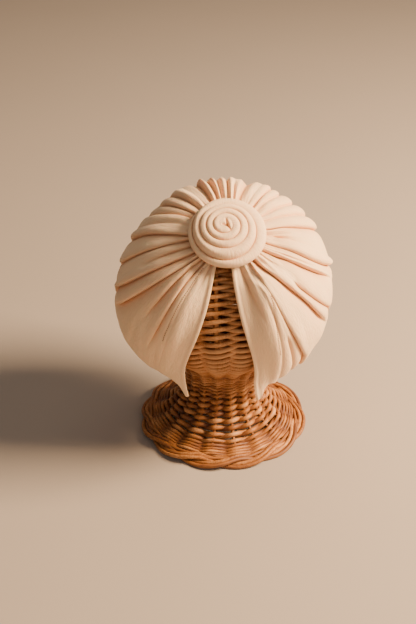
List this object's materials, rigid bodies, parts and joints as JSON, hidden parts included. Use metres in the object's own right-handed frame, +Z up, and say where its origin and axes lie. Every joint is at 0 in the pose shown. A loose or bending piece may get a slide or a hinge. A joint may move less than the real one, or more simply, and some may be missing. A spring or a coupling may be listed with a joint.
{
  "type": "gathered turban with rosette on a wicker hat stand",
  "caption": "Pre-tied jersey turban, gathered under a coiled rosette and open in a long V over the face, held in shape by a woven wicker hat stand with a flared, scalloped foot.",
  "frame": {"origin": "on the table, under the middle of the whole object's bounding box", "axes": "+Z up, -Y towards the face opening and the rosette, +X to the right of someone who looks at the front"},
  "size_m": [0.1738, 0.1636, 0.2217],
  "materials": {
    "jersey": "matt cream cotton jersey",
    "rattan": "satin honey-brown rattan"
  },
  "bodies": {
    "root": {"turban_crown": "jersey", "turban_rosette": "jersey", "stand_ball": "rattan", "stand_foot": "rattan", "stand_border": "rattan"}
  },
  "joints": []
}
